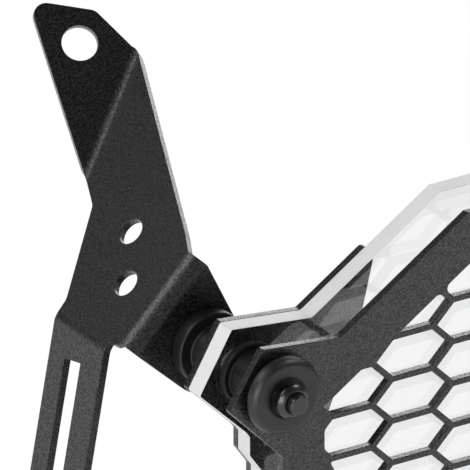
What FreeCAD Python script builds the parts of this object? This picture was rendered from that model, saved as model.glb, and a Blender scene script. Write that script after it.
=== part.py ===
import FreeCAD, Part
import math
import os

# Motorcycle headlight guard: a honeycomb grille and a clear shield on rubber bushes,
# carried by two folded brackets. Sizes are in millimetres and angles in degrees.
# X runs across the motorcycle, Y runs back from the grille and Z is up. While the
# pieces are made, X = 0 is the middle plane, Y = 0 the front face of the grille and
# Z = 0 the height of the upper studs. Points of the plates are (inboard, up) from
# the upper stud of their side.

# Plates
SHEET = 2.0                      # powder-coated sheet of grille, back plates and brackets
SHIELD_T = 5.0                   # clear acrylic
STUD_SPAN = 206.8                # between the axes of the upper studs
EAR_CORNER = (-4.05, 11.45)      # outline, from the ear's top corner round the ear
EAR_TIP = (-12.95, -2.2)
EAR_FOOT = (-0.2, -15.2)
NECK_TOP = (1.65, -17.3)
NECK_FOOT = (1.65, -21.7)
SIDE_TOP = (4.3, -26.6)
SIDE_FOOT = (4.3, -72.0)
SHIELD_EAR_TIP = (-12.75, -3.25)  # shield and back plates, where they differ from the grille
SHIELD_EAR_FOOT = (-0.2, -15.55)
SHIELD_NECK_TOP = (0.85, -17.0)
SHIELD_NECK_FOOT = (0.85, -21.7)
SHOULDER = (17.85, 9.05)         # inner corner where the ear meets the sloping edge
CROWN = (52.9, 31.9)             # end of the top edge
GRILLE_LEAD = 0.55               # sloping edge of the grille outside the shield's
BASE_DROP = 86.0                 # bottom edge below the upper studs
CORNER_R = 0.7
SHIELD_SHOULDER_R = 1.5
GRILLE_SHOULDER_R = 5.0

# Honeycomb
COLUMN_PITCH = 16.6
ROW_PITCH = 10.6
STRUT = 1.5
CELL_RISE = 0.3                  # centre of the middle row above the upper studs
BORDER = 11.3                    # solid rim between the outline and the cells
STUD_FIELD_GAP = 3.0             # solid rim around a lower stud's grommet
CLIPPED_R = 1.5                  # corners that the rim cuts into a cell
SHARP_CORNER = 40.0              # such corners stay sharp below this angle
LEAST_OPENING = 14.0             # smaller slivers of a cell are left solid, square mm

# Lower studs
LOWER_RUN = 15.5                 # inboard of the upper stud
LOWER_DROP = 68.0                # below the upper stud

# Back plates
BACK_TIP_RUN = 37.4              # end of the plate along the sloping edge
BACK_WAIST = (33.0, 3.6)
BACK_STRIP = (20.5, -27.0)       # top of the narrow side strip
BACK_PAD = 10.5                  # half width of the pad behind a lower stud
BACK_R = 2.0
BACK_TIP_R = 1.2

# Studs
STUD_R = 3.0
STUD_FIT = 0.1                   # between a stud and the rubber or nut round it
PLATE_FIT = 0.25                 # between a stud and the plates it passes
BULB_R = 4.5
BULB_OUT = 6.3                   # widest place of the bulb in front of the grille
BULB_FACE_R = 3.3                # of the bulb's flat front and back
BULB_T = 2.6
TIP_R = 2.5
TIP_OUT = 9.5
TIP_LENGTH = 2.2
TIP_CHAMFER = 0.25
NECK_OUT = 4.6                   # foot of the bulb in front of the grille
COLLAR_R = 5.0                   # shoulder that seats on the bracket
COLLAR_T = 2.0
THREAD_PAST_NUT = 1.5
THREAD_CHAMFER = 0.6

# Rubber
GROMMET_R = 9.5
GROMMET_T = 4.6
GROMMET_BELLY = 2.0              # widest place in front of the grille
GROMMET_FOOT_R = 9.0
GROMMET_CREST_R = 8.0            # front edge round the dished middle
GROMMET_DISH_R = 4.8
GROMMET_DISH = 1.1
SPIGOT_R = 6.2
SPIGOT_FIT = 0.1
BUSH_LENGTH = 11.0
BUSH_NECK_R = 6.0
BUSH_FLANGE_R = 9.0
BUSH_FLANGE_T = 4.0
BUSH_RIM_R = 0.6

# Washers and lock nuts
WASHER_R = 6.0
WASHER_T = 1.6
NUT_SIDES = 6
NUT_ACROSS_FLATS = 10.0
NUT_HEX_H = 4.4
NUT_H = 6.0
NUT_DOME_R = 4.2
NUT_CHAMFER = 0.7

# Brackets, laid out with u along the tab's fold, v back from the tab's front face and
# n outwards from the large plate
BRACKET_TILT = 45.0              # of the large plate, about the stud
BEND_R = 2.0                     # inside radius of the tab's fold
PLATE_OUT = 16.9                 # outer face of the large plate from the stud
TAB_LOW = 10.9                   # tab below the stud, at its end
TAB_FOOT = 11.9                  # tab below the stud, at the fold
TAB_HIGH = 14.4                  # tab above the stud, at the fold
TAB_TIP = 6.4                    # tab above the stud, at its end
TAB_REACH = 10.8                 # tab past the stud
TAB_END_R = 8.0
HAUNCH = (17.4, 8.5)             # corner of the right edge above the tab
CROTCH = (11.2, 41.2)            # inner corner of the left edge below the lug
ARM_HEEL = (-10.2, 28.8)
EDGE_R = 3.0
PLATE_HOLE_R = 3.25
UPPER_HOLE = (11.0, 24.6)
LOWER_HOLE = (0.4, 15.1)
LUG_FOLD_FOOT = (15.6, 49.0)     # ends of the lug's fold
LUG_FOLD_HEAD = (46.8, 61.2)
LUG_ANGLE = 48.0
LUG_BEND_R = 3.5                 # inside radius of the lug's fold
LUG_FLARE = 0.7                  # bulge of the fold's head past the straight edge
LUG_HOLE_R = 4.25
LUG_HOLE = (30.0, 13.0)          # along the fold and away from it
LUG_PEAK = (34.97, 27.86)
LUG_SHOULDER = (38.9, 12.6)
LUG_PEAK_R = 3.1
ARM_ANGLE = 27.0
ARM_BEND_R = 4.0                 # inside radius of the arm's fold
ARM_FOLD = -14.4                 # place of the arm's fold along u
ARM_FRONT = 7.45                 # front edge of the arm at its fold
ARM_WIDTH = 21.1
ARM_LENGTH = 75.0
ARM_RAKE = 0.181                 # run forwards for each millimetre down
ARM_END_R = 9.0
ARM_FOOT_LEAD = 1.6              # notch between tab and arm
SLOT_WIDTH = 6.3
SLOT_TOP = 7.5
SLOT_BACK = 1.0                  # slot behind the middle of the arm
SLOT_LENGTH = 54.0
BEND_SECTIONS = 5

# Places along the stud axes
FRONT_BUSH_Y = SHEET
SHIELD_Y = FRONT_BUSH_Y + BUSH_LENGTH
BACK_PLATE_Y = SHIELD_Y + SHIELD_T
REAR_BUSH_Y = BACK_PLATE_Y + SHEET
TAB_Y = REAR_BUSH_Y + BUSH_LENGTH
UPPER_SEAT_Y = TAB_Y + SHEET
LOWER_SEAT_Y = TAB_Y
STUD_END_Y = UPPER_SEAT_Y + WASHER_T + NUT_H + THREAD_PAST_NUT

STUD_X = STUD_SPAN / 2.0
SAME_POINT = 0.001               # points nearer than this are one
V = FreeCAD.Vector


def unit(a, b):
    """Unit vector in the plane from point a to point b."""
    dx, dy = b[0] - a[0], b[1] - a[1]
    size = math.hypot(dx, dy)
    return (dx / size, dy / size)


def crossing(p, d, q, e):
    """Point where the line through p along d meets the line through q along e."""
    det = d[0] * e[1] - d[1] * e[0]
    t = ((q[0] - p[0]) * e[1] - (q[1] - p[1]) * e[0]) / det
    return (p[0] + d[0] * t, p[1] + d[1] * t)


def inset(points, distance):
    """Closed outline, listed anticlockwise, moved inwards by a distance."""
    lines = []
    for a, b in zip(points, points[1:] + points[:1]):
        d = unit(a, b)
        lines.append(((a[0] - d[1] * distance, a[1] + d[0] * distance), d))
    return [crossing(*lines[i - 1], *lines[i]) for i in range(len(lines))]


def rounded_face(points, radii):
    """Face in the XY plane with each corner rounded by its radius, 0 for a sharp one."""
    trims = []
    for i, p in enumerate(points):
        before, after = points[i - 1], points[(i + 1) % len(points)]
        a, b = unit(p, before), unit(p, after)
        half = math.acos(max(-1.0, min(1.0, a[0] * b[0] + a[1] * b[1]))) / 2.0
        room = min(math.dist(p, before), math.dist(p, after)) * 0.49
        run = min(radii[i] / math.tan(half), room)
        reach = run / math.cos(half)
        radius = run * math.tan(half)
        bisector = unit((0, 0), (a[0] + b[0], a[1] + b[1])) if run else (0, 0)
        middle = reach - radius
        trims.append((
            V(p[0] + a[0] * run, p[1] + a[1] * run, 0),
            V(p[0] + bisector[0] * middle, p[1] + bisector[1] * middle, 0),
            V(p[0] + b[0] * run, p[1] + b[1] * run, 0),
            run > 0,
        ))
    edges = []
    for i, (start, middle, end, is_round) in enumerate(trims):
        if is_round:
            edges.append(Part.Arc(start, middle, end).toShape())
        edges.append(Part.LineSegment(end, trims[(i + 1) % len(trims)][0]).toShape())
    return Part.Face(Part.Wire(edges))


def upright(face, y, thickness):
    """Plate made from a face drawn as (x, z), with its front at a given y."""
    turned = face.copy()
    turned.rotate(V(0, 0, 0), V(1, 0, 0), 90)
    turned.translate(V(0, y, 0))
    return turned.extrude(V(0, thickness, 0))


def stud_bore(x, z, radius, y, thickness):
    """Cylinder along Y that cuts a stud's hole through a plate."""
    return Part.makeCylinder(radius, thickness, V(x, y, z), V(0, 1, 0))


def left(point):
    """Place of a plate point on the left side."""
    return (point[0] - STUD_X, point[1])


def mirrored(points):
    """The same run of points on the right side, in the opposite order."""
    return [(-x, z) for x, z in reversed(points)]


def grille_slope():
    """Crown and shoulder of the grille, whose sloping edge lies outside the shield's."""
    slope = unit(SHOULDER, CROWN)
    on_slope = (SHOULDER[0] - slope[1] * GRILLE_LEAD, SHOULDER[1] + slope[0] * GRILLE_LEAD)
    crown = crossing(on_slope, slope, CROWN, (1.0, 0.0))
    shoulder = crossing(on_slope, slope, EAR_CORNER, unit(EAR_CORNER, SHOULDER))
    return [crown, shoulder]


def grille_ear():
    """Points of the grille from the ear's top corner to the top of the side."""
    return [EAR_CORNER, EAR_TIP, EAR_FOOT, NECK_TOP, NECK_FOOT, SIDE_TOP]


def shield_ear():
    """Points of the shield from the ear's top corner to the top of the side."""
    return [EAR_CORNER, SHIELD_EAR_TIP, SHIELD_EAR_FOOT, SHIELD_NECK_TOP, SHIELD_NECK_FOOT,
            SIDE_TOP]


def guard_face(slope, ear, shoulder_r):
    """Whole outline, from the crown and shoulder and the ear of the left side."""
    base = (SIDE_FOOT[0] + SIDE_FOOT[1] + BASE_DROP, -BASE_DROP)
    side = [left(p) for p in slope + ear + [SIDE_FOOT, base]]
    side_radii = [CORNER_R, shoulder_r] + [CORNER_R] * (len(side) - 2)
    return rounded_face(side + mirrored(side), side_radii + side_radii[::-1])


def stud_places():
    """Name, x, z and seat of the nut for each of the four studs."""
    upper, lower = STUD_X, STUD_X - LOWER_RUN
    return [
        ("upper_left", -upper, 0.0, UPPER_SEAT_Y),
        ("upper_right", upper, 0.0, UPPER_SEAT_Y),
        ("lower_left", -lower, -LOWER_DROP, LOWER_SEAT_Y),
        ("lower_right", lower, -LOWER_DROP, LOWER_SEAT_Y),
    ]


def drilled(plate, radius, y, thickness):
    """Plate with the holes of those studs that pass through it."""
    for _, x, z, _ in stud_places():
        plate = plate.cut(stud_bore(x, z, radius, y, thickness))
    return plate


def clear_shield():
    """Clear plate behind the grille."""
    face = guard_face([CROWN, SHOULDER], shield_ear(), SHIELD_SHOULDER_R)
    plate = upright(face, SHIELD_Y, SHIELD_T)
    return drilled(plate, STUD_R + PLATE_FIT, SHIELD_Y, SHIELD_T)


def field_face():
    """Area of the grille that the cells may open."""
    crown, shoulder = grille_slope()
    hip = crossing(crown, unit(shoulder, crown), NECK_FOOT, (0.0, 1.0))
    keep = (GROMMET_R + STUD_FIELD_GAP - BORDER) * math.sqrt(2.0)
    corner_sum = LOWER_RUN - LOWER_DROP + keep
    side_end = (SIDE_TOP[0], corner_sum - SIDE_TOP[0])
    base_start = (corner_sum + BASE_DROP, -BASE_DROP)
    side = [left(p) for p in (crown, hip, NECK_FOOT, SIDE_TOP, side_end, base_start)]
    ring = inset(side + mirrored(side), BORDER)
    return rounded_face(ring, [0] * len(ring))


def cell_corners(x, z):
    """Corners of a long hexagonal opening with sloping ends at 45 degrees."""
    half_height = (ROW_PITCH - STRUT) / 2.0
    half_length = (COLUMN_PITCH + ROW_PITCH / 2.0 - STRUT * math.sqrt(2.0)) / 2.0
    half_flat = half_length - half_height
    return [(x + half_length, z), (x + half_flat, z + half_height),
            (x - half_flat, z + half_height), (x - half_length, z),
            (x - half_flat, z - half_height), (x + half_flat, z - half_height)]


def corner_angle(before, corner, after):
    """Angle of an outline at a corner."""
    a, b = unit(corner, before), unit(corner, after)
    return math.degrees(math.acos(max(-1.0, min(1.0, a[0] * b[0] + a[1] * b[1]))))


def clipped_cell(opening, corners):
    """Opening that the rim cuts short, with its new corners rounded."""
    points = [(p.X, p.Y) for p in opening.OuterWire.OrderedVertexes]
    radii = []
    for i, p in enumerate(points):
        is_old = min(math.dist(p, c) for c in corners) < SAME_POINT
        angle = corner_angle(points[i - 1], p, points[(i + 1) % len(points)])
        radii.append(0.0 if is_old or angle < SHARP_CORNER else CLIPPED_R)
    return rounded_face(points, radii)


def cell_centres():
    """Centres of a honeycomb that covers the whole guard."""
    columns = int(STUD_X / COLUMN_PITCH) + 1
    top = int(CROWN[1] / ROW_PITCH) + 1
    bottom = int(BASE_DROP / ROW_PITCH) + 1
    for i in range(-columns, columns + 1):
        stagger = ROW_PITCH / 2.0 if i % 2 else 0.0
        for j in range(-bottom, top + 1):
            yield i * COLUMN_PITCH, j * ROW_PITCH + stagger + CELL_RISE


def honeycomb_grille():
    """Front plate with a field of honeycomb cells and holes for the grommets."""
    field = field_face()
    openings = []
    for x, z in cell_centres():
        corners = cell_corners(x, z)
        cell = rounded_face(corners, [0] * len(corners))
        for opening in cell.common(field).Faces:
            if opening.Area > LEAST_OPENING:
                openings.append(upright(clipped_cell(opening, corners), 0.0, SHEET))
    plate = upright(guard_face(grille_slope(), grille_ear(), GRILLE_SHOULDER_R), 0.0, SHEET)
    plate = plate.cut(Part.makeCompound(openings))
    return drilled(plate, SPIGOT_R + SPIGOT_FIT, 0.0, SHEET)


def left_back_plate():
    """Stiffening plate behind the shield, flush with its left side."""
    slope = unit(SHOULDER, CROWN)
    tip = crossing(SHOULDER, slope, (BACK_TIP_RUN, 0.0), (0.0, 1.0))
    pad_in = LOWER_RUN + BACK_PAD
    pad_low = -LOWER_DROP - BACK_PAD
    pad_top = -LOWER_DROP + BACK_PAD
    strip_end = (BACK_STRIP[0], pad_top + pad_in - BACK_STRIP[0])
    foot = (SIDE_FOOT[0] + SIDE_FOOT[1] - pad_low, pad_low)
    run = [tip, SHOULDER] + shield_ear()
    run += [SIDE_FOOT, foot, (pad_in, pad_low), (pad_in, pad_top), strip_end, BACK_STRIP, BACK_WAIST]
    radii = [BACK_TIP_R, SHIELD_SHOULDER_R] + [CORNER_R] * 8 + [BACK_PAD - BACK_R]
    radii += [BACK_R] * (len(run) - len(radii))
    plate = upright(rounded_face([left(p) for p in run], radii), BACK_PLATE_Y, SHEET)
    return drilled(plate, STUD_R + PLATE_FIT, BACK_PLATE_Y, SHEET)


def turned(profile, x, z):
    """Solid of revolution about a stud axis, from edges drawn as (radius, y)."""
    face = Part.Face(Part.Wire(profile))
    solid = face.revolve(V(0, 0, 0), V(0, 1, 0), 360)
    solid.translate(V(x, 0, z))
    return solid


def profile_edges(points, arcs=()):
    """Closed profile through points (radius, y), with arcs bulging through a middle."""
    middles = dict(arcs)
    edges = []
    for i, (a, b) in enumerate(zip(points, points[1:] + points[:1])):
        start, end = V(a[0], a[1], 0), V(b[0], b[1], 0)
        if i in middles:
            m = middles[i]
            edges.append(Part.Arc(start, V(m[0], m[1], 0), end).toShape())
        else:
            edges.append(Part.LineSegment(start, end).toShape())
    return edges


def stud(x, z):
    """Ball stud: a bulb in front, a collar that seats on the bracket and a thread."""
    bulb_head = (BULB_FACE_R, -BULB_OUT - BULB_T / 2.0)
    bulb_foot = (BULB_FACE_R, -BULB_OUT + BULB_T / 2.0)
    points = [
        (0.0, -TIP_OUT), (TIP_R - TIP_CHAMFER, -TIP_OUT), (TIP_R, -TIP_OUT + TIP_CHAMFER),
        (TIP_R, -TIP_OUT + TIP_LENGTH), bulb_head, bulb_foot, (STUD_R, -NECK_OUT),
        (STUD_R, TAB_Y - COLLAR_T), (COLLAR_R, TAB_Y - COLLAR_T), (COLLAR_R, TAB_Y),
        (STUD_R, TAB_Y), (STUD_R, STUD_END_Y - THREAD_CHAMFER),
        (STUD_R - THREAD_CHAMFER, STUD_END_Y), (0.0, STUD_END_Y),
    ]
    return turned(profile_edges(points, [(4, (BULB_R, -BULB_OUT))]), x, z)


def grommet(x, z):
    """Front grommet: a bulging flange with a dished middle and a spigot in the grille."""
    bore = STUD_R + STUD_FIT
    lean = math.sqrt(0.5)
    rim_mid = (GROMMET_CREST_R + (GROMMET_R - GROMMET_CREST_R) * lean,
               -GROMMET_BELLY - (GROMMET_T - GROMMET_BELLY) * lean)
    dish_y = GROMMET_DISH - GROMMET_T
    points = [
        (bore, dish_y), (GROMMET_DISH_R, dish_y), (GROMMET_CREST_R, -GROMMET_T),
        (GROMMET_R, -GROMMET_BELLY), (GROMMET_FOOT_R, 0.0),
        (SPIGOT_R, 0.0), (SPIGOT_R, SHEET), (bore, SHEET),
    ]
    return turned(profile_edges(points, [(2, rim_mid)]), x, z)


def bush(x, z, y, recess_r=0.0, recess=0.0):
    """Rubber bush with its neck in front, its flange behind and room for a collar."""
    bore = STUD_R + STUD_FIT
    end = y + BUSH_LENGTH
    step = end - BUSH_FLANGE_T
    lean = BUSH_RIM_R * (1.0 - math.sqrt(0.5))
    points = [
        (bore, y), (BUSH_NECK_R, y), (BUSH_NECK_R, step), (BUSH_FLANGE_R - BUSH_RIM_R, step),
        (BUSH_FLANGE_R, step + BUSH_RIM_R), (BUSH_FLANGE_R, end),
    ]
    if recess > 0.0:
        points += [(recess_r, end), (recess_r, end - recess), (bore, end - recess)]
    else:
        points += [(bore, end)]
    rim = (BUSH_FLANGE_R - lean, step + lean)
    return turned(profile_edges(points, [(3, rim)]), x, z)


def washer(x, z, y):
    """Flat washer."""
    ring = stud_bore(x, z, WASHER_R, y, WASHER_T)
    return ring.cut(stud_bore(x, z, STUD_R + PLATE_FIT, y, WASHER_T))


def lock_nut(x, z, y):
    """Hexagon nut with a round collar at its back."""
    corner = NUT_ACROSS_FLATS / 2.0 / math.cos(math.pi / NUT_SIDES)
    angles = [2.0 * math.pi * i / NUT_SIDES for i in range(NUT_SIDES)]
    hexagon = [(x + corner * math.cos(a), z + corner * math.sin(a)) for a in angles]
    body = upright(rounded_face(hexagon, [0] * NUT_SIDES), y, NUT_HEX_H)
    chamfer = corner - NUT_ACROSS_FLATS / 2.0
    blank = [
        (0.0, y), (corner - chamfer, y), (corner, y + chamfer), (corner, y + NUT_HEX_H - chamfer),
        (corner - chamfer, y + NUT_HEX_H), (NUT_DOME_R, y + NUT_HEX_H),
        (NUT_DOME_R, y + NUT_H - NUT_CHAMFER), (NUT_DOME_R - NUT_CHAMFER, y + NUT_H),
        (0.0, y + NUT_H),
    ]
    collar = stud_bore(x, z, NUT_DOME_R, y + NUT_HEX_H, NUT_H - NUT_HEX_H)
    nut = body.fuse(collar).common(turned(profile_edges(blank), x, z))
    return nut.cut(stud_bore(x, z, STUD_R + STUD_FIT, y, NUT_H)).removeSplitter()


def laid(face, thickness, origin, along, across):
    """Sheet from a face, set with its outer side on a plane and its depth behind it."""
    normal = along.cross(across)
    sheet = face.extrude(V(0, 0, -thickness))
    turn = FreeCAD.Rotation(along, across, normal, "ZXY")
    sheet.Placement = FreeCAD.Placement(origin, turn)
    return sheet


def fold(centre, axis, start, angle, radii, first_span, last_span, flare=0.0):
    """Bent strip of sheet round an axis.

    The strip starts in the direction start from the centre and turns by angle. It lies
    between the two radii, and its span along the axis goes from first_span to last_span.
    Half way round, its far end bulges by flare.
    """
    rings = []
    for i in range(BEND_SECTIONS):
        share = i / (BEND_SECTIONS - 1.0)
        out = FreeCAD.Rotation(axis, angle * share).multVec(start)
        near, far = (a + (b - a) * share for a, b in zip(first_span, last_span))
        far += flare * math.sin(math.pi * share)
        corners = [centre + out * r + axis * s
                   for r, s in ((radii[0], near), (radii[1], near),
                                (radii[1], far), (radii[0], far))]
        rings.append(Part.makePolygon(corners + corners[:1]))
    return Part.makeLoft(rings, True, False)


class BracketFrame:
    """Places of the left bracket's folds, in its own u, v and n directions."""

    def __init__(self):
        self.outer_r = BEND_R + SHEET
        self.arm_outer_r = ARM_BEND_R + SHEET
        self.arm_trim = self.arm_outer_r * math.tan(math.radians(ARM_ANGLE / 2.0))
        self.lug_trim = LUG_BEND_R * math.tan(math.radians(LUG_ANGLE / 2.0))
        self.along = unit(LUG_FOLD_FOOT, LUG_FOLD_HEAD)
        self.away = (-self.along[1], self.along[0])
        self.fold_length = math.dist(LUG_FOLD_FOOT, LUG_FOLD_HEAD)
        self.arm_start = ARM_FOLD + self.arm_trim
        self.crotch_in_fold = self.in_fold(CROTCH)
        self.haunch_in_fold = self.in_fold(HAUNCH)

    def in_fold(self, point):
        """Point of the large plate as (along the lug's fold, away from it)."""
        d = (point[0] - LUG_FOLD_FOOT[0], point[1] - LUG_FOLD_FOOT[1])
        return (d[0] * self.along[0] + d[1] * self.along[1],
                d[0] * self.away[0] + d[1] * self.away[1])

    def on_plate(self, point):
        """Point given along and away from the lug's fold, on the large plate."""
        return (LUG_FOLD_FOOT[0] + self.along[0] * point[0] + self.away[0] * point[1],
                LUG_FOLD_FOOT[1] + self.along[1] * point[0] + self.away[1] * point[1])

    def plate_span(self):
        """Ends of the lug's fold where the large plate stops."""
        level = -self.lug_trim
        low = level * self.crotch_in_fold[0] / self.crotch_in_fold[1]
        edge = unit(self.haunch_in_fold, (self.fold_length, 0.0))
        high = self.fold_length + level * edge[0] / edge[1]
        return (low, high)

    def lug_span(self):
        """Ends of the lug's fold where the flat lug starts."""
        level = self.lug_trim
        low = level * LUG_PEAK[0] / LUG_PEAK[1]
        high = self.fold_length + level * (LUG_SHOULDER[0] - self.fold_length) / LUG_SHOULDER[1]
        return (low, high)


def round_hole(point, radius, height):
    """Cylinder that cuts a round hole through a flat sheet lying under its face."""
    return Part.makeCylinder(radius, height, V(point[0], point[1], -height))


def large_plate(frame):
    """Flat plate between the three folds, outer face up."""
    low, high = frame.plate_span()
    level = -frame.lug_trim
    fold_v = frame.outer_r
    points = [
        (-TAB_FOOT, fold_v), (TAB_HIGH, fold_v), HAUNCH,
        frame.on_plate((high, level)), frame.on_plate((low, level)), CROTCH, ARM_HEEL,
        (frame.arm_start, ARM_FRONT + ARM_WIDTH), (frame.arm_start, ARM_FRONT),
        (-TAB_FOOT - ARM_FOOT_LEAD / 2.0, fold_v + ARM_FOOT_LEAD / 2.0),
    ]
    radii = [0, 0, EDGE_R, 0, 0, EDGE_R, EDGE_R, 0, 0, ARM_FOOT_LEAD]
    sheet = laid(rounded_face(points, radii), SHEET, V(0, 0, 0), V(1, 0, 0), V(0, 1, 0))
    for place in (UPPER_HOLE, LOWER_HOLE):
        sheet = sheet.cut(round_hole(place, PLATE_HOLE_R, SHEET))
    sheet.translate(V(0, 0, PLATE_OUT))
    return sheet


def tab_sheet(frame):
    """Flat tab that the stud seats on, facing the front."""
    start = PLATE_OUT - frame.outer_r
    points = [(-TAB_FOOT, start), (-TAB_LOW, -TAB_REACH), (TAB_TIP, -TAB_REACH), (TAB_HIGH, start)]
    face = rounded_face(points, [0, TAB_END_R, TAB_END_R, 0])
    tab = laid(face, SHEET, V(0, 0, 0), V(1, 0, 0), V(0, 0, 1))
    return tab.cut(stud_bore(0.0, 0.0, STUD_R + PLATE_FIT, 0.0, SHEET))


def tab_fold(frame):
    """Right-angled fold between the large plate and the tab."""
    centre = V(0, frame.outer_r, PLATE_OUT - frame.outer_r)
    span = (-TAB_FOOT, TAB_HIGH)
    return fold(centre, V(1, 0, 0), V(0, 0, 1), 90.0, (BEND_R, frame.outer_r), span, span)


def lug_pieces(frame):
    """Lug with its fold, bent outwards from the large plate."""
    foot = V(LUG_FOLD_FOOT[0], LUG_FOLD_FOOT[1], PLATE_OUT)
    along = V(frame.along[0], frame.along[1], 0)
    away = V(frame.away[0], frame.away[1], 0)
    outwards = V(0, 0, 1)
    bend = FreeCAD.Rotation(along, LUG_ANGLE)
    lug_away = bend.multVec(away)
    centre = foot - away * frame.lug_trim + outwards * LUG_BEND_R
    strip = fold(centre, along, -outwards, LUG_ANGLE, (LUG_BEND_R, LUG_BEND_R + SHEET),
                 frame.plate_span(), frame.lug_span(), LUG_FLARE)
    low, high = frame.lug_span()
    points = [(low, frame.lug_trim), (high, frame.lug_trim), LUG_SHOULDER, LUG_PEAK]
    face = rounded_face(points, [0, 0, EDGE_R, LUG_PEAK_R])
    flat = face.extrude(V(0, 0, -SHEET)).cut(round_hole(LUG_HOLE, LUG_HOLE_R, SHEET))
    turn = FreeCAD.Rotation(along, lug_away, bend.multVec(outwards), "ZXY")
    flat.Placement = FreeCAD.Placement(foot, turn)
    return [strip, flat]


def arm_pieces(frame):
    """Slotted arm with its fold, hanging from the large plate."""
    centre = V(frame.arm_start, 0, PLATE_OUT - frame.arm_outer_r)
    span = (ARM_FRONT, ARM_FRONT + ARM_WIDTH)
    strip = fold(centre, V(0, 1, 0), V(0, 0, 1), -ARM_ANGLE, (ARM_BEND_R, frame.arm_outer_r),
                 span, span)
    top = frame.arm_trim

    def at(down, back):
        return (down, ARM_FRONT + back - ARM_RAKE * (down - top))

    points = [at(top, 0.0), at(ARM_LENGTH, 0.0), at(ARM_LENGTH, ARM_WIDTH), at(top, ARM_WIDTH)]
    flat = rounded_face(points, [0, ARM_END_R, ARM_END_R, 0])
    cosine = 1.0 / math.hypot(1.0, ARM_RAKE)
    axis = (cosine, -ARM_RAKE * cosine)
    side = (-axis[1] * SLOT_WIDTH / 2.0, axis[0] * SLOT_WIDTH / 2.0)
    head = at(SLOT_TOP, ARM_WIDTH / 2.0 + SLOT_BACK)
    tail = (head[0] + axis[0] * SLOT_LENGTH, head[1] + axis[1] * SLOT_LENGTH)
    corners = [(head[0] - side[0], head[1] - side[1]), (tail[0] - side[0], tail[1] - side[1]),
               (tail[0] + side[0], tail[1] + side[1]), (head[0] + side[0], head[1] + side[1])]
    flat = flat.cut(rounded_face(corners, [0] * len(corners)))
    lean = math.radians(ARM_ANGLE)
    down = V(-math.cos(lean), 0, -math.sin(lean))
    origin = V(ARM_FOLD, 0, PLATE_OUT)
    outwards = down.cross(V(0, 1, 0))
    sheet = flat.extrude(V(0, 0, SHEET))
    turn = FreeCAD.Rotation(down, V(0, 1, 0), outwards, "ZXY")
    sheet.Placement = FreeCAD.Placement(origin, turn)
    return [strip, sheet]


def left_bracket():
    """Left bracket: one sheet folded into a tab, a large plate, a lug and an arm."""
    frame = BracketFrame()
    pieces = [tab_sheet(frame), tab_fold(frame)] + lug_pieces(frame) + arm_pieces(frame)
    bracket = large_plate(frame).fuse(pieces).removeSplitter()
    bracket.rotate(V(0, 0, 0), V(0, 1, 0), -BRACKET_TILT)
    bracket.translate(V(-STUD_X, TAB_Y, 0))
    return bracket


def across(shape):
    """Mirror image on the other side of the middle plane."""
    return shape.mirror(V(0, 0, 0), V(1, 0, 0))


def guard_pieces():
    """Every piece of the guard by its name."""
    pieces = {"clear_shield": clear_shield(), "honeycomb_grille": honeycomb_grille()}
    for name, make in (("back_plate", left_back_plate), ("bracket", left_bracket)):
        shape = make()
        pieces["left_" + name] = shape
        pieces["right_" + name] = across(shape)
    washers, nuts = [], []
    for name, x, z, seat in stud_places():
        pieces[name + "_stud"] = stud(x, z)
        pieces[name + "_grommet"] = grommet(x, z)
        pieces[name + "_front_bush"] = bush(x, z, FRONT_BUSH_Y)
        pieces[name + "_rear_bush"] = bush(x, z, REAR_BUSH_Y, COLLAR_R + STUD_FIT, COLLAR_T)
        washers.append(washer(x, z, seat))
        nuts.append(lock_nut(x, z, seat + WASHER_T))
    pieces["washers"] = Part.makeCompound(washers)
    pieces["lock_nuts"] = Part.makeCompound(nuts)
    return pieces


# The origin of the finished part is the middle of its bounding box
guard = guard_pieces()
box = Part.makeCompound(list(guard.values())).optimalBoundingBox(False)
os.makedirs("parts", exist_ok=True)
for node, shape in guard.items():
    shape.translate(-box.Center)
    shape.exportStep("parts/" + node + ".step")
print("centre of the laid-out guard:", box.Center)
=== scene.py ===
"""Dresses the headlight guard: coated sheet, clear shield, rubber bushes and studs."""

import logging
import math
from contextlib import contextmanager
from dataclasses import dataclass
from enum import Enum
from typing import Any, Iterator, Sequence

import bpy
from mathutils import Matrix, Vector


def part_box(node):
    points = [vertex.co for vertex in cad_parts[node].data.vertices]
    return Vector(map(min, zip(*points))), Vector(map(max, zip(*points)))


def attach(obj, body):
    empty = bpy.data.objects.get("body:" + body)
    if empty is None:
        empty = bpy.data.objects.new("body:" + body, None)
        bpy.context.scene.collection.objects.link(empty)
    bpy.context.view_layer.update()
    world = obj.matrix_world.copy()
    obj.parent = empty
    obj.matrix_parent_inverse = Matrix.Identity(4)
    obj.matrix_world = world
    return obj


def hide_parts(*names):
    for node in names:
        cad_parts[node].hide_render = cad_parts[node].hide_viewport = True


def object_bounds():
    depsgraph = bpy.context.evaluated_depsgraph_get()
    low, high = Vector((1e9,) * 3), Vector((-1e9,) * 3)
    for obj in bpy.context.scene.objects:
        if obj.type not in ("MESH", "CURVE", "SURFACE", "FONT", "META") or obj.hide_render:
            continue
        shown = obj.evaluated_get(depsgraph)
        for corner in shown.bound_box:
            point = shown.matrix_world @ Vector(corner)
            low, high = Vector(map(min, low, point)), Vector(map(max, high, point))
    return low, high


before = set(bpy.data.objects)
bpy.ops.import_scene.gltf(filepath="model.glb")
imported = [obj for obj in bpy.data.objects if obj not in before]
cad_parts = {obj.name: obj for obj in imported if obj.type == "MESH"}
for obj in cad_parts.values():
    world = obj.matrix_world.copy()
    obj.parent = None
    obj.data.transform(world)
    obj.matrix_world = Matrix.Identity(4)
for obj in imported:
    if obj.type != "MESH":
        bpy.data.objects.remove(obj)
CAD_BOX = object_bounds()
MM = 0.001
QUARTER_TURN = math.pi / 2.0
WHITE = (1.0, 1.0, 1.0, 1.0)
RING_WELD = 0.001 * MM
MIX_SHARE, MIX_FIRST, MIX_SECOND, MIX_RESULT = 0, 6, 7, 2
BODY = "root"
log = logging.getLogger("headlight_guard")
Colour = tuple[float, float, float]
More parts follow.
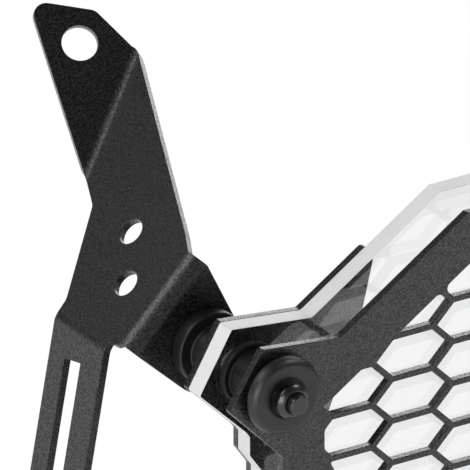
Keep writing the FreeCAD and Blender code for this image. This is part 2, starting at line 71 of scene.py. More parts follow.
Ring = tuple[float, float]


class Station(Enum):
    """The four studs that hold the layers together, by their place on the guard."""

    UPPER_LEFT = "upper_left"
    UPPER_RIGHT = "upper_right"
    LOWER_LEFT = "lower_left"
    LOWER_RIGHT = "lower_right"

    @property
    def on_bracket(self) -> bool:
        """Whether a bracket's tab is clamped behind this stud."""
        return self in (Station.UPPER_LEFT, Station.UPPER_RIGHT)

    @property
    def axis(self) -> Vector:
        """Place of the stud's axis.

        Returns:
            The middle of the stud's box, at y = 0.
        """
        low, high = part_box(self.node("stud"))
        middle = (low + high) / 2.0
        return Vector((middle.x, 0.0, middle.z))

    def node(self, part: str) -> str:
        """Name of one of this station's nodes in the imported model."""
        return f"{self.value}_{part}"


class Slot(Enum):
    """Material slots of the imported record."""

    COAT = "black_powder_coat"
    ACRYLIC = "clear_acrylic"
    RUBBER = "black_rubber"
    STUD = "black_stud"
    ZINC = "zinc_steel"


class Value:
    """A node's output that takes part in Python arithmetic."""

    def __init__(self, graph: "Graph", socket: bpy.types.NodeSocket) -> None:
        """Keeps the graph that new Math nodes go to and the socket itself."""
        self.graph = graph
        self.socket = socket

    def sibling(self, name: str) -> "Value":
        """Another output of the same node."""
        return Value(self.graph, self.socket.node.outputs[name])

    def _math(self, operation: str, first: Any, second: Any) -> "Value":
        """Adds one Math node.

        Args:
            operation: Blender's name of the operation.
            first: Left operand, a number or a Value.
            second: Right operand, a number or a Value.

        Returns:
            The result as a Value.
        """
        return self.graph.add("ShaderNodeMath", {"operation": operation}, {0: first, 1: second})

    def __add__(self, other: Any) -> "Value":
        """self + other."""
        return self._math("ADD", self, other)

    def __radd__(self, other: Any) -> "Value":
        """other + self."""
        return self._math("ADD", other, self)

    def __mul__(self, other: Any) -> "Value":
        """self * other."""
        return self._math("MULTIPLY", self, other)

    def __rmul__(self, other: Any) -> "Value":
        """other * self."""
        return self._math("MULTIPLY", other, self)

    def greatest(self, other: Any) -> "Value":
        """The larger of self and other."""
        return self._math("MAXIMUM", self, other)


class Graph:
    """A node tree in which every node is added by one method."""

    def __init__(self, tree: bpy.types.NodeTree) -> None:
        """Clears the tree and starts from nothing."""
        self.tree = tree
        tree.nodes.clear()

    def add(self, kind: str, settings: dict[str, Any] | None = None,
            inputs: dict[Any, Any] | None = None, output: Any = 0) -> Value | None:
        """Adds a node.

        Args:
            kind: Blender's type name of the node.
            settings: Properties of the node, with a ramp's stops under "stops".
            inputs: Numbers, colours or Values for its sockets, by name or place.
            output: Name or place of the output that is handed back.

        Returns:
            That output, or None where the node has none.
        """
        node = self.tree.nodes.new(kind)
        for name, setting in (settings or {}).items():
            if name == "stops":
                self._set_stops(node.color_ramp, setting)
            else:
                setattr(node, name, setting)
        for name, value in (inputs or {}).items():
            if isinstance(value, Value):
                self.tree.links.new(value.socket, node.inputs[name])
            else:
                node.inputs[name].default_value = value
        return Value(self, node.outputs[output]) if len(node.outputs) else None

    @staticmethod
    def _set_stops(ramp: bpy.types.ColorRamp, stops: Sequence[tuple[float, float]]) -> None:
        """Sets a ramp's stops.

        Args:
            ramp: The ramp, which has two stops at first.
            stops: Place and grey level of each stop, in order.
        """
        while len(ramp.elements) < len(stops):
            ramp.elements.new(1.0)
        for element, (place, grey) in zip(ramp.elements, stops):
            element.position = place
            element.color = (grey, grey, grey, 1.0)

    def noise(self, place: Value, size: float, detail: float = 2.0) -> Value:
        """Noise whose grains have about the given size in metres."""
        return self.add("ShaderNodeTexNoise", {},
                        {"Vector": place, "Scale": 1.0 / size, "Detail": detail}, "Fac")

    def stretched(self, value: Value, span: tuple[float, float]) -> Value:
        """Stretches the given span of a value over 0 to 1 and cuts off the rest."""
        return self.add("ShaderNodeMapRange", {"clamp": True},
                        {"Value": value, "From Min": span[0], "From Max": span[1]}, "Result")

    def blend(self, share: Any, first: Colour, second: Colour) -> Value:
        """Colour between two colours.

        Args:
            share: 0 for the first colour, 1 for the second.
            first: Linear colour.
            second: Linear colour.

        Returns:
            The mixed colour.
        """
        return self.add("ShaderNodeMix", {"data_type": "RGBA"},
                        {MIX_SHARE: share, MIX_FIRST: (*first, 1.0), MIX_SECOND: (*second, 1.0)},
                        MIX_RESULT)

    def background_rays(self, *kinds: str) -> Value:
        """Marks the rays that see the plain background.

        Args:
            kinds: Kinds of ray besides those straight from the camera.

        Returns:
            1 for such rays, else 0.
        """
        direct = self.add("ShaderNodeLightPath", {}, {}, "Is Camera Ray")
        share = direct
        for kind in kinds:
            share = share.greatest(direct.sibling(f"Is {kind} Ray"))
        return share


class Surface(Graph):
    """The node tree of a new material with one Principled shader."""

    def __init__(self, name: str) -> None:
        """Makes the material and its Object coordinates.

        Args:
            name: Name of the material.
        """
        self.material = bpy.data.materials.new(name)
        self.material.use_nodes = True
        super().__init__(self.material.node_tree)
        self.place = self.add("ShaderNodeTexCoord", {}, {}, "Object")

    def bump(self, height: Value, depth: float) -> Value:
        """Normal of a relief of the given depth in metres."""
        return self.add("ShaderNodeBump", {}, {"Height": height, "Distance": depth}, "Normal")

    def finish(self, inputs: dict[str, Any]) -> bpy.types.Material:
        """Adds the shader.

        Args:
            inputs: Values and numbers for the Principled shader's sockets.

        Returns:
            The finished material.
        """
        shader = self.add("ShaderNodeBsdfPrincipled", {}, inputs, "BSDF")
        self.add("ShaderNodeOutputMaterial", {}, {"Surface": shader})
        return self.material


@dataclass(frozen=True)
class PowderCoat:
    """Black powder coat with a fine sandy grain."""

    dark: Colour = (0.002, 0.002, 0.0021)
    light: Colour = (0.018, 0.018, 0.0185)
    gloss: float = 0.5
    roughness: float = 0.27
    roughness_swing: float = 0.12
    grain: float = 0.42 * MM
    grain_share: float = 0.75
    speck_span: tuple[float, float] = (0.40, 0.63)
    wave: float = 1.5 * MM
    wave_share: float = 0.6
    depth: float = 0.17 * MM
    sparkle: float = 1.0
    sparkle_roughness: float = 0.3

    def material(self) -> bpy.types.Material:
        """Makes the coat, with its specks in colour, gloss and relief.

        Returns:
            The material.
        """
        surface = Surface("black_powder_coat")
        sand = surface.noise(surface.place, self.grain)
        specks = surface.stretched(sand, self.speck_span)
        peel = surface.noise(surface.place, self.wave)
        relief = sand * self.grain_share + peel * self.wave_share
        return surface.finish({
            "Base Color": surface.blend(specks, self.dark, self.light),
            "Roughness": specks * self.roughness_swing + self.roughness,
            "Specular IOR Level": self.gloss,
            "Coat Weight": specks * self.sparkle,
            "Coat Roughness": self.sparkle_roughness,
            "Normal": surface.bump(relief, self.depth),
        })


@dataclass(frozen=True)
class SawnEdge:
    """Sawn acrylic edge, frosted white with fine marks across it, and a painted glow that stands in
    for light gathered inside the plate.
    """

    dark: Colour = (0.82, 0.83, 0.83)
    light: Colour = (0.94, 0.94, 0.94)
    roughness: float = 0.4
    roughness_swing: float = 0.2
    mark: float = 0.5 * MM
    mark_length: float = 9.0 * MM
    painted_edge_glow: float = 0.2

    def material(self) -> bpy.types.Material:
        """Makes the sawn edge, with its painted glow.

        Returns:
            The material.
        """
        surface = Surface("acrylic_sawn_edge")
        stretch = (1.0 / self.mark, 1.0 / self.mark_length, 1.0 / self.mark)
        across = surface.add("ShaderNodeMapping", {}, {"Vector": surface.place, "Scale": stretch})
        marks = surface.noise(across, 1.0)
        frost_and_painted_glow = surface.blend(marks, self.dark, self.light)
        return surface.finish({
            "Base Color": frost_and_painted_glow,
            "Roughness": marks * self.roughness_swing + self.roughness,
            # Painted light: the edge glows in its own frost colour, standing in for light piped
            # through the plate; it is no lamp.
            "Emission Color": frost_and_painted_glow,
            "Emission Strength": self.painted_edge_glow,
        })


@dataclass(frozen=True)
class ClearAcrylic:
    """Clear acrylic with polished faces and a trace of haze."""

    tint: Colour = (0.90, 0.905, 0.905)
    haze: float = 0.02
    haze_size: float = 14.0 * MM
    ior: float = 1.49
    shine: float = 1.0

    def material(self) -> bpy.types.Material:
        """Makes the acrylic.

        Returns:
            The material.
        """
        surface = Surface("clear_acrylic")
        cloud = surface.noise(surface.place, self.haze_size)
        return surface.finish({
            "Base Color": (*self.tint, 1.0),
            "Roughness": cloud * self.haze,
            "IOR": self.ior,
            "Transmission Weight": 1.0,
            "Coat Weight": self.shine,
        })


@dataclass(frozen=True)
class MouldedRubber:
    """Black moulded rubber with a satin skin."""

    name: str = "satin_rubber"
    dark: Colour = (0.006, 0.006, 0.0062)
    light: Colour = (0.012, 0.012, 0.0124)
    gloss: float = 0.58
    roughness: float = 0.36
    roughness_swing: float = 0.12
    skin: float = 0.8 * MM
    depth: float = 0.012 * MM

    def material(self) -> bpy.types.Material:
        """Makes the rubber.

        Returns:
            The material.
        """
        surface = Surface(self.name)
        skin = surface.noise(surface.place, self.skin)
        return surface.finish({
            "Base Color": surface.blend(skin, self.dark, self.light),
            "Roughness": skin * self.roughness_swing + self.roughness,
            "Specular IOR Level": self.gloss,
            "Normal": surface.bump(skin, self.depth),
        })


@dataclass(frozen=True)
class DullRubber(MouldedRubber):
    """The same rubber with little shine."""

    name: str = "dull_rubber"
    gloss: float = 0.26


@dataclass(frozen=True)
class BlackStudFinish:
    """Smooth black finish of the turned studs."""

    dark: Colour = (0.003, 0.003, 0.0032)
    light: Colour = (0.006, 0.006, 0.0063)
    gloss: float = 0.8
    roughness: float = 0.24
    roughness_swing: float = 0.08
    turning: float = 0.6 * MM

    def material(self) -> bpy.types.Material:
        """Makes the stud's finish.

        Returns:
            The material.
        """
        surface = Surface("black_stud")
        trace = surface.noise(surface.place, self.turning)
        return surface.finish({
            "Base Color": surface.blend(trace, self.dark, self.light),
            "Roughness": trace * self.roughness_swing + self.roughness,
            "Specular IOR Level": self.gloss,
        })


@dataclass(frozen=True)
class ZincPlate:
    """Zinc-plated steel of nuts and washers."""

    dark: Colour = (0.42, 0.42, 0.43)
    light: Colour = (0.62, 0.62, 0.61)
    roughness: float = 0.3
    roughness_swing: float = 0.15
    mottle: float = 1.1 * MM
    mottle_detail: float = 4.0

    def material(self) -> bpy.types.Material:
        """Makes the plating.

        Returns:
            The material.
        """
        surface = Surface("zinc_steel")
        cloud = surface.noise(surface.place, self.mottle, self.mottle_detail)
        return surface.finish({
            "Base Color": surface.blend(cloud, self.dark, self.light),
            "Metallic": 1.0,
            "Roughness": cloud * self.roughness_swing + self.roughness,
        })


@dataclass(frozen=True)
class PaleFloor:
    """White floor that stays white to the camera and still takes the guard's shadow."""

    dark: Colour = (0.90, 0.90, 0.90)
    light: Colour = (0.92, 0.92, 0.92)
    cloud_size: float = 0.4
    glow: float = 0.94
    strength: float = 1.03

    def material(self) -> bpy.types.Material:
        """Makes the floor's paint.

        Returns:
            The material.
        """
        surface = Surface("pale_floor")
        cloud = surface.noise(surface.place, self.cloud_size)
        paint = surface.add("ShaderNodeBsdfDiffuse", {},
                            {"Color": surface.blend(cloud, self.dark, self.light)})
        white = surface.add("ShaderNodeEmission", {}, {"Strength": self.strength})
        seen = surface.background_rays("Glossy", "Transmission") * self.glow
        mixed = surface.add("ShaderNodeMixShader", {}, {0: seen, 1: paint, 2: white})
        surface.add("ShaderNodeOutputMaterial", {}, {"Surface": mixed})
        return surface.material


def start_fresh() -> None:
    """Leaves edit mode and deselects everything."""
    if bpy.context.object and bpy.context.object.mode != "OBJECT":
        bpy.ops.object.mode_set(mode="OBJECT")
    bpy.ops.object.select_all(action="DESELECT")


def take_up(piece: bpy.types.Object) -> None:
    """Selects one piece alone and makes it the active one.

    Args:
        piece: The piece that operators then act on.
    """
    start_fresh()
    piece.select_set(True)
    bpy.context.view_layer.objects.active = piece


@contextmanager
def edited(piece: bpy.types.Object) -> Iterator[None]:
    """Opens a piece in edit mode with all of it selected, and closes it afterwards.

    Args:
        piece: The piece that mesh operators then act on.

    Yields:
        Nothing.
    """
    take_up(piece)
    bpy.ops.object.mode_set(mode="EDIT")
    bpy.ops.mesh.select_all(action="SELECT")
    yield
    bpy.ops.object.mode_set(mode="OBJECT")


def apply_modifier(piece: bpy.types.Object, kind: str, **settings: Any) -> None:
    """Adds a modifier and applies it.

    Args:
        piece: Object that is changed.
        kind: Blender's type name of the modifier.
        settings: Properties of the modifier.
    """
    take_up(piece)
    modifier = piece.modifiers.new(kind.lower(), kind)
    for name, setting in settings.items():
        setattr(modifier, name, setting)
    bpy.ops.object.modifier_apply(modifier=modifier.name)


def smooth(piece: bpy.types.Object, angle: float = 35.0) -> None:
    """Shades a piece smooth across edges flatter than an angle in degrees."""
    take_up(piece)
    bpy.ops.object.shade_smooth_by_angle(angle=math.radians(angle))


def settle(piece: bpy.types.Object) -> None:
    """Moves a piece's place, turn and scale from its object into its mesh."""
    take_up(piece)
    bpy.ops.object.transform_apply(location=True, rotation=True, scale=True)


def linked(name: str, data: bpy.types.ID) -> bpy.types.Object:
    """Makes an object and adds it to the scene.

    Args:
        name: Name of the object.
        data: Its mesh, light or camera.

    Returns:
        The object.
    """
    thing = bpy.data.objects.new(name, data)
    bpy.context.scene.collection.objects.link(thing)
    return thing


def aimed(name: str, data: bpy.types.ID, target: Vector, towards: Vector,
          distance: float) -> bpy.types.Object:
    """Adds a light or camera that looks at a target.

    Args:
        name: Name of the object.
        data: Its light or camera.
        target: Point that it looks at.
        towards: Direction from the target to it, of length 1.
        distance: Way between the two.

    Returns:
        The object.
    """
    thing = linked(name, data)
    thing.location = target + towards * distance
    thing.rotation_euler = towards.to_track_quat("Z", "Y").to_euler()
    return thing


def copied(piece: bpy.types.Object, name: str, shift: Vector) -> bpy.types.Object:
    """Copies a piece, with a mesh of its own, to another place.

    Args:
        piece: The pattern, which stays as it is.
        name: Name of the copy.
        shift: Way from the pattern to the copy.

    Returns:
        The copy.
    """
    take_up(piece)
    bpy.ops.object.duplicate(linked=False)
    copy = bpy.context.object
    copy.name = name
    copy.location = shift
    settle(copy)
    return copy


def joined(pieces: Sequence[bpy.types.Object], name: str) -> bpy.types.Object:
    """Joins like pieces into one object.

    Args:
        pieces: The pieces, at least one.
        name: Name of the result.

    Returns:
        The joined object.
    """
    take_up(pieces[0])
    for piece in pieces:
        piece.select_set(True)
    bpy.ops.object.join()
    pieces[0].name = name
    return pieces[0]


def dress(piece: bpy.types.Object, slot: Slot, material: bpy.types.Material,
          *nodes: str) -> bpy.types.Object:
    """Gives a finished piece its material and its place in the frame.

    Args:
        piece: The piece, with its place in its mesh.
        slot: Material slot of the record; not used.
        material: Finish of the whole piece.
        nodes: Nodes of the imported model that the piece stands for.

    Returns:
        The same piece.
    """
    piece.data.materials.clear()
    piece.data.materials.append(material)
    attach(piece, BODY)
    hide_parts(*nodes)
    log.info("%s: %d faces", piece.name, len(piece.data.polygons))
    return piece


def as_share(level: Any) -> Any:
    """Turns a level from -1 to 1 into a share from 0 to 1."""
    return level * 0.5 + 0.5


def softened(rings: Sequence[Ring], reach: float, steps: int = 4) -> list[Ring]:
    """Rounds every inner corner of an open profile.

    Args:
        rings: Radius and y of each corner, in metres.
        reach: Reach of the rounding along both sides of a corner.
        steps: Runs that make up one rounding.

    Returns:
        The profile with more rings.
    """
    most = 0.45
    result = [rings[0]]
    for before, corner, after in zip(rings, rings[1:], rings[2:]):
        p, a, b = Vector(corner), Vector(before), Vector(after)
        start = p + (a - p).normalized() * min(reach, (a - p).length * most)
        end = p + (b - p).normalized() * min(reach, (b - p).length * most)
        for i in range(steps + 1):
            t = i / steps
            point = start * (1 - t) ** 2 + p * 2 * t * (1 - t) + end * t * t
            result.append((point.x, point.y))
    return result + [rings[-1]]


def quarter_round(centre: Ring, reach: Ring, steps: int) -> list[Ring]:
    """Quarter of an ellipse as rings, from its outermost point on.

    Args:
        centre: Radius and y of its middle.
        reach: Way from there along the radius and along y.
        steps: Runs that it is made of.

    Returns:
        The rings, both ends included.
    """
    angles = [QUARTER_TURN * i / steps for i in range(steps + 1)]
    return [(centre[0] + reach[0] * math.cos(angle), centre[1] + reach[1] * math.sin(angle))
            for angle in angles]


def turned(name: str, axis: Vector, rings: Sequence[Ring], is_tube: bool,
           steps: int = 72) -> bpy.types.Object:
    """Turns a piece about an axis along Y, ring by ring.

    Args:
        name: Name of the piece.
        axis: A point of the axis.
        rings: Radius and y of each ring, in metres.
        is_tube: Whether the profile closes on itself round a bore.
        steps: Corners of a ring.

    Returns:
        The piece, with smooth shading.
    """
    start_fresh()
    radius, y = rings[0]
    bpy.ops.mesh.primitive_circle_add(vertices=steps, radius=radius, fill_type="NOTHING",
                                      location=(axis.x, y, axis.z), rotation=(QUARTER_TURN, 0, 0))
    piece = bpy.context.object
    piece.name = name
    settle(piece)
    around = list(rings[1:]) + ([rings[0]] if is_tube else [])
    with edited(piece):
        for new_radius, new_y in around:
            bpy.ops.mesh.extrude_region_move(TRANSFORM_OT_translate={"value": (0, new_y - y, 0)})
            grow = new_radius / radius
            bpy.ops.transform.resize(value=(grow, 1.0, grow),
                                     center_override=(axis.x, new_y, axis.z))
            radius, y = new_radius, new_y
        bpy.ops.mesh.select_all(action="SELECT")
        bpy.ops.mesh.remove_doubles(threshold=RING_WELD)
        if not is_tube:
            bpy.ops.mesh.fill_holes(sides=0)
        bpy.ops.mesh.select_all(action="SELECT")
        bpy.ops.mesh.normals_make_consistent(inside=False)
    smooth(piece)
    return piece


@dataclass
class SheetPiece:
    """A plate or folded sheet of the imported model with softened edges."""

    node: str
    name: str
    edge: float = 0.16 * MM
    edge_steps: int = 3
    weld: float = 0.002 * MM
    flat_angle: float = 0.4
    sharp_angle: float = 40.0
    flat_weight: int = 100

    def build(self) -> bpy.types.Object:
        """Copies the node's mesh, joins its flat faces and rounds its edges.

        Returns:
            The piece, not yet dressed.
        """
        piece = linked(self.name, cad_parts[self.node].data.copy())
        take_up(piece)
        bpy.ops.mesh.customdata_custom_splitnormals_clear()
        with edited(piece):
            bpy.ops.mesh.remove_doubles(threshold=self.weld)
            bpy.ops.mesh.dissolve_limited(angle_limit=math.radians(self.flat_angle))
        apply_modifier(piece, "BEVEL", width=self.edge, segments=self.edge_steps,
                       limit_method="ANGLE", angle_limit=math.radians(self.sharp_angle),
                       use_clamp_overlap=False, loop_slide=False)
        smooth(piece, self.sharp_angle)
        apply_modifier(piece, "WEIGHTED_NORMAL", weight=self.flat_weight, keep_sharp=True)
        return piece

    def dress(self, slot: Slot, material: bpy.types.Material) -> bpy.types.Object:
        """Builds the piece and gives it its finish.

        Args:
            slot: Material slot of the record.
            material: Finish of the whole piece.

        Returns:
            The finished piece.
        """
        return dress(self.build(), slot, material, self.node)


@dataclass
class ClearShield(SheetPiece):
    """The acrylic plate, with clear faces and sawn edges."""

    edge: float = 0.2 * MM
    face_turn: float = 0.9
    air: float = 0.03 * MM

    def build(self) -> bpy.types.Object:
        """Builds the plate with a trace of air between it and what it lies against.

        Returns:
            The plate, not yet dressed.
        """
        piece = super().build()
        low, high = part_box(self.node)
        middle = (low + high) / 2.0
        thinner = 1.0 - 2.0 * self.air / (high.y - low.y)
        with edited(piece):
            bpy.ops.transform.resize(value=(1.0, thinner, 1.0), center_override=middle)
        return piece

    def dress(self, slot: Slot, material: bpy.types.Material) -> bpy.types.Object:
        """Builds the shield and gives its edges a finish of their own.

        Args:
            slot: Material slot of the record.
            material: Finish of the two faces.

        Returns:
            The finished shield.
        """
        piece = super().dress(slot, material)
        piece.data.materials.append(SawnEdge().material())
        for polygon in piece.data.polygons:
            polygon.material_index = 0 if abs(polygon.normal.y) > self.face_turn else 1
        piece.visible_shadow = False
        return piece


@dataclass
class StudStacks:
    """The four studs, each with the grommet and the two bushes that it carries."""

    pattern: Station = Station.UPPER_LEFT
    accented: tuple[str, ...] = ("stud", "grommet")
    tip_radius: float = 2.4 * MM
    tip_face: float = 1.6 * MM
    tip_edge: float = 0.6 * MM
    bulb_radius: float = 4.6 * MM
    bulb_face: float = 3.1 * MM
    bulb_front: float = 1.75 * MM
    bulb_middle: float = 3.2 * MM
    bulb_rear: float = 4.6 * MM
    bulb_groove: float = 0.35 * MM
    bulb_round: float = 0.9 * MM
    bulb_steps: int = 6
    neck: float = 3.0 * MM
    collar_radius: float = 5.0 * MM
    collar: float = 2.0 * MM
    plain_end: float = 3.0 * MM
    thread_pitch: float = 1.0 * MM
    thread_depth: float = 0.45 * MM
    thread_stop: float = 0.4 * MM
    grommet_belly: float = 2.0 * MM
    grommet_foot: float = 8.2 * MM
    grommet_crest: float = 7.7 * MM
    grommet_flat: float = 4.95 * MM
    grommet_hollow: float = 0.12 * MM
    grommet_dish: float = 4.3 * MM
    grommet_dish_depth: float = 0.7 * MM
    grommet_dish_round: float = 0.5 * MM
    grommet_edge: float = 0.2 * MM
    grommet_steps: int = 10
    spigot: float = 6.2 * MM
    bush_neck: float = 6.0 * MM
    front_flange_radius: float = 7.6 * MM
    front_flange: float = 2.2 * MM
    rear_flange: float = 4.0 * MM
    bush_rim: float = 0.6 * MM
    bush_steps: int = 5
    fit: float = 0.1 * MM

    def box(self, part: str) -> tuple[Vector, Vector]:
        """Lowest and highest corner of one of the pattern's nodes."""
        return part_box(self.pattern.node(part))

    @property
    def bore(self) -> float:
        """Radius of the hole in grommet and bushes."""
        return self.neck + self.fit

    def stud(self) -> bpy.types.Object:
        """Turns bulb, shank, collar and thread in one piece.

        Returns:
            The stud.
        """
        low, high = self.box("stud")
        seat = self.box("rear_bush")[1].y
        groove = (self.tip_radius, low.y + self.bulb_front + self.bulb_groove)
        rings = softened([(self.tip_face, low.y), (self.tip_radius, low.y), groove], self.tip_edge)
        bulb = [groove, (self.bulb_face, low.y + self.bulb_front),
                (self.bulb_radius, low.y + self.bulb_middle), (self.neck, low.y + self.bulb_rear)]
        rings += softened(bulb, self.bulb_round, self.bulb_steps)[1:]
        rings += [(self.neck, seat - self.collar), (self.collar_radius, seat - self.collar),
                  (self.collar_radius, seat), (self.neck, seat)]
        root = self.neck - self.thread_depth
        y = seat + self.plain_end
        rings.append((self.neck, y))
        while y + self.thread_pitch < high.y - self.thread_stop:
            rings += [(root, y + self.thread_pitch / 2.0), (self.neck, y + self.thread_pitch)]
            y += self.thread_pitch
        rings.append((root, high.y))
        return turned("ball_stud", self.pattern.axis, rings, False)

    def grommet(self) -> bpy.types.Object:
        """Turns the front grommet with a rounded rim, a dished face and a spigot.

        Returns:
            The grommet.
        """
        low, high = self.box("grommet")
        radius = (high.x - low.x) / 2.0
        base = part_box("honeycomb_grille")[0].y
        belly = base - self.grommet_belly
        rings = softened([(self.bore, high.y), (self.spigot, high.y), (self.spigot, base),
                          (self.grommet_foot, base), (radius, belly)], self.grommet_edge)
        rim = (radius - self.grommet_crest, low.y - belly)
        rings += quarter_round((self.grommet_crest, belly), rim, self.grommet_steps)[1:]
        floor = low.y + self.grommet_dish_depth
        rings += softened([rings.pop(), (self.grommet_flat, low.y + self.grommet_hollow),
                           (self.grommet_dish, floor), (self.bore, floor)], self.grommet_dish_round)
        return turned("front_grommet", self.pattern.axis, rings, True)

    def bush(self, part: str) -> bpy.types.Object:
        """One rubber bush.

        Args:
            part: "front" or "rear".

        Returns:
            The bush, neck in front and flange behind, with room for the collar in the rear one.
        """
        low, high = self.box(part + "_bush")
        radius, flange = self.front_flange_radius, self.front_flange
        hole_end = [(self.bore, high.y)]
        if part == "rear":
            radius, flange = (high.x - low.x) / 2.0, self.rear_flange
            recess = self.collar_radius + self.fit
            floor = high.y - self.collar
            hole_end = [(recess, high.y), (recess, floor), (self.bore, floor)]
        step = high.y - flange
        outline = [(self.bore, low.y), (self.bush_neck, low.y), (self.bush_neck, step),
                   (radius, step), (radius, high.y), *hole_end]
        rings = softened(outline, self.bush_rim, self.bush_steps)
        return turned(part + "_rubber", self.pattern.axis, rings, True)

    def dress(self, satin: bpy.types.Material, dull: bpy.types.Material,
              black: bpy.types.Material) -> list[bpy.types.Object]:
        """Models one stack, copies it to the other studs and gives all their finishes.

        Args:
            satin: Finish of the grommets and the rear bushes.
            dull: Finish of the front bushes.
            black: Finish of the studs.

        Returns:
            The pieces that receive the accent lights.
        """
        stack = (
            ("stud", self.stud(), Slot.STUD, black),
            ("grommet", self.grommet(), Slot.RUBBER, satin),
            ("front_bush", self.bush("front"), Slot.RUBBER, dull),
            ("rear_bush", self.bush("rear"), Slot.RUBBER, satin),
        )
        accented = []
        for part, piece, slot, material in stack:
            for station in Station:
                shift = station.axis - self.pattern.axis
                copy = copied(piece, station.node(piece.name), shift)
                dress(copy, slot, material, station.node(part))
                if part in self.accented:
                    accented.append(copy)
            bpy.data.objects.remove(piece)
        return accented


@dataclass
class NutsAndWashers:
    """Washers and lock nuts behind the studs."""

    bore: float = 3.1 * MM
    washer_bore: float = 3.25 * MM
    washer_radius: float = 6.0 * MM
    washer: float = 1.6 * MM
    washer_edge: float = 0.2 * MM
    nut: float = 6.0 * MM
    hexagon: float = 4.4 * MM
    across_flats: float = 10.0 * MM
    sides: int = 6
    corner_cut: float = 0.7
    nut_edge: float = 0.15 * MM
    collar_radius: float = 4.2 * MM
    collar_edge: float = 0.5 * MM
    weld: float = 0.004 * MM

    def seat(self, station: Station) -> Vector:
        """Middle of a washer's front face.

        Args:
            station: The stud that carries the washer.

        Returns:
            The point.
        """
        low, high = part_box("washers")
        front = high.y - self.washer if station.on_bracket else low.y
        return station.axis + Vector((0.0, front, 0.0))

    def washer_piece(self) -> bpy.types.Object:
        """Turns one washer with softened edges.

        Returns:
            The washer, its front face at the origin.
        """
        outline = [(self.washer_bore, 0.0), (self.washer_radius, 0.0),
                   (self.washer_radius, self.washer), (self.washer_bore, self.washer)]
        return turned("washer", Vector(), softened(outline, self.washer_edge), True)

    def nut_piece(self) -> bpy.types.Object:
        """Models one lock nut, a chamfered hexagon with a round collar.

        Returns:
            The nut, on a washer at the origin.
        """
        front, back = self.washer, self.washer + self.nut
        corner, flat = self.across_flats / math.sqrt(3.0), self.across_flats / 2.0
        start_fresh()
        bpy.ops.mesh.primitive_cylinder_add(vertices=self.sides, radius=corner, depth=self.nut,
                                            location=(0.0, (front + back) / 2.0, 0.0),
                                            rotation=(QUARTER_TURN, 0, 0))
        piece = bpy.context.object
        piece.name = "nut"
        settle(piece)
        top = front + self.hexagon
        drop = (corner - flat) * self.corner_cut
        outline = [
            (self.bore, front), (flat, front), (corner, front + drop), (corner, top - drop),
            (flat, top), (self.collar_radius, top),
            (self.collar_radius, back - self.collar_edge),
            (self.collar_radius - self.collar_edge, back), (self.bore, back),
        ]
        blank = turned("nut_blank", Vector(), softened(outline, self.nut_edge), True)
        apply_modifier(piece, "BOOLEAN", object=blank, operation="INTERSECT", solver="EXACT")
        bpy.data.objects.remove(blank)
        with edited(piece):
            bpy.ops.mesh.remove_doubles(threshold=self.weld)
            bpy.ops.mesh.dissolve_degenerate(threshold=self.weld)
            bpy.ops.mesh.quads_convert_to_tris()
        smooth(piece)
        return piece

    def dress(self, zinc: bpy.types.Material) -> None:
        """Models one washer and one nut, copies them to the studs and gives them their finish.

        Args:
            zinc: Finish of both.
        """
        patterns = ((self.washer_piece(), "flat_washers", "washers"),
                    (self.nut_piece(), "hexagon_lock_nuts", "lock_nuts"))
        for piece, name, node in patterns:
            copies = [copied(piece, station.node(piece.name), self.seat(station))
                      for station in Station]
            bpy.data.objects.remove(piece)
            dress(joined(copies, name), Slot.ZINC, zinc, node)


@dataclass(frozen=True)
class Softbox:
    """One rectangular studio light, given by the direction it shines from."""

    name: str
    towards: tuple[float, float, float]
    distance: float
    width: float
    height: float
    radiance: float

    def place(self, target: Vector) -> bpy.types.Object:
        """Adds the light.

        Args:
            target: Point that it shines at.

        Returns:
            The light, which the camera doesn't see.
        """
        data = bpy.data.lights.new(self.name, "AREA")
        data.shape = "RECTANGLE"
        data.size = self.width
        data.size_y = self.height
        data.energy = self.radiance * math.pi * self.width * self.height
        light = aimed(self.name, data, target, Vector(self.towards).normalized(), self.distance)
        light.visible_camera = False
        return light


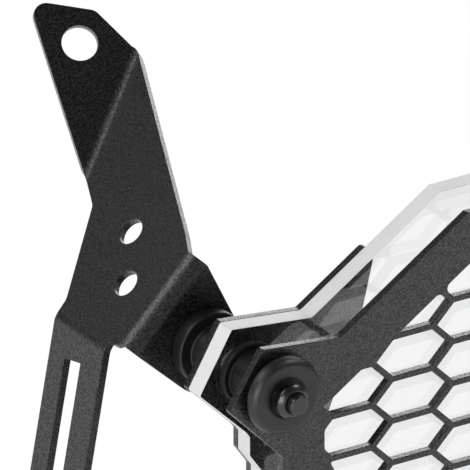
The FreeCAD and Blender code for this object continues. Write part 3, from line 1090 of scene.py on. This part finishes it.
@dataclass
class Studio:
    """Camera, floor, surroundings and lights."""

    from_stud: tuple[float, float, float] = (8.481 * MM, 31.0 * MM, 25.167 * MM)
    azimuth: float = -32.874
    elevation: float = 24.801
    frame_width: float = 107.629 * MM
    lens: float = 1600.0
    sensor: float = 36.0
    floor_size: float = 6.0
    floor_gap: float = 0.3 * MM
    sky: tuple[tuple[float, float], ...] = (
        (-1.0, 1.0), (-0.03, 1.0), (0.05, 0.3), (0.2, 0.15), (0.44, 0.24), (0.7, 0.15), (1.0, 0.03))
    accents: tuple[Softbox, ...] = (
        Softbox("accent_right_above", (0.66, -0.20, 0.75), 1.0, 0.36, 0.30, 7.0),
        Softbox("accent_left", (-0.82, -0.55, 0.12), 0.8, 0.60, 0.45, 2.4),
    )
    softboxes: tuple[Softbox, ...] = (
        Softbox("key_left_above", (-0.645, 0.15, 0.74), 0.9, 0.60, 0.35, 1.8),
        Softbox("key_left_before", (-0.66, -0.08, 0.75), 0.9, 0.40, 0.36, 1.6),
        Softbox("key_left_behind", (-0.62, 0.36, 0.70), 0.9, 0.42, 0.36, 1.8),
        Softbox("front_left", (-0.82, -0.55, 0.10), 0.8, 0.60, 0.40, 2.0),
        Softbox("right_back", (0.72, 0.62, 0.22), 1.0, 0.90, 0.60, 2.4),
    )

    @property
    def target(self) -> Vector:
        """Middle of the view, given from the left upper stud at the grille's front."""
        front = Vector((0.0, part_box("honeycomb_grille")[0].y, 0.0))
        return Station.UPPER_LEFT.axis + front + Vector(self.from_stud)

    def towards_camera(self) -> Vector:
        """Direction from the guard to the camera.

        Returns:
            The direction, of length 1.
        """
        around, lift = math.radians(self.azimuth), math.radians(self.elevation)
        flat = math.cos(lift)
        return Vector((math.sin(around) * flat, -math.cos(around) * flat, math.sin(lift)))

    def add_camera(self) -> None:
        """Adds the camera with a long lens."""
        data = bpy.data.cameras.new("camera")
        data.lens = self.lens
        data.sensor_width = self.sensor
        distance = self.frame_width * self.lens / self.sensor
        camera = aimed("camera", data, self.target, self.towards_camera(), distance)
        bpy.context.scene.camera = camera

    def add_floor(self) -> None:
        """Adds the pale floor under the guard."""
        start_fresh()
        level = CAD_BOX[0].z - self.floor_gap
        bpy.ops.mesh.primitive_plane_add(size=self.floor_size, location=(0.0, 0.0, level))
        floor = bpy.context.object
        floor.name = "pale_floor"
        settle(floor)
        floor.data.materials.append(PaleFloor().material())

    def add_surroundings(self) -> None:
        """Adds a world that is white at the horizon and darker overhead."""
        world = bpy.data.worlds.new("studio")
        bpy.context.scene.world = world
        world.use_nodes = True
        graph = Graph(world.node_tree)
        way = graph.add("ShaderNodeTexCoord", {}, {}, "Generated")
        height = graph.add("ShaderNodeSeparateXYZ", {}, {"Vector": way}, "Z")
        stops = [(as_share(z), grey) for z, grey in self.sky]
        dome = graph.add("ShaderNodeValToRGB", {"stops": stops}, {"Fac": as_share(height)}, "Color")
        soft = graph.add("ShaderNodeBackground", {}, {"Color": dome})
        white = graph.add("ShaderNodeBackground", {}, {"Color": WHITE})
        seen = graph.background_rays("Transmission")
        mixed = graph.add("ShaderNodeMixShader", {}, {0: seen, 1: soft, 2: white})
        graph.add("ShaderNodeOutputWorld", {}, {"Surface": mixed})

    def add_accents(self, pieces: Sequence[bpy.types.Object]) -> None:
        """Adds the small lights that only some pieces receive.

        Args:
            pieces: Those pieces.
        """
        receivers = bpy.data.collections.new("accented_pieces")
        for piece in pieces:
            receivers.objects.link(piece)
        for box in self.accents:
            box.place(self.target).light_linking.receiver_collection = receivers

    def build(self, accented: Sequence[bpy.types.Object]) -> None:
        """Sets up the whole studio.

        Args:
            accented: Pieces that also receive the accents.
        """
        bpy.context.scene.view_settings.view_transform = "Standard"
        self.add_camera()
        self.add_floor()
        self.add_surroundings()
        for box in self.softboxes:
            box.place(self.target)
        self.add_accents(accented)


def main() -> None:
    """Builds and dresses every sub-assembly in order."""
    logging.basicConfig(level=logging.INFO, format="%(name)s %(message)s")
    coat = PowderCoat().material()
    SheetPiece("honeycomb_grille", "front_grille").dress(Slot.COAT, coat)
    for side in ("left", "right"):
        SheetPiece(side + "_back_plate", side + "_stiffening_plate").dress(Slot.COAT, coat)
        SheetPiece(side + "_bracket", side + "_folded_bracket").dress(Slot.COAT, coat)
    ClearShield("clear_shield", "acrylic_shield").dress(Slot.ACRYLIC, ClearAcrylic().material())
    accented = StudStacks().dress(MouldedRubber().material(), DullRubber().material(),
                                  BlackStudFinish().material())
    NutsAndWashers().dress(ZincPlate().material())
    Studio().build(accented)


if __name__ == "__main__":
    main()
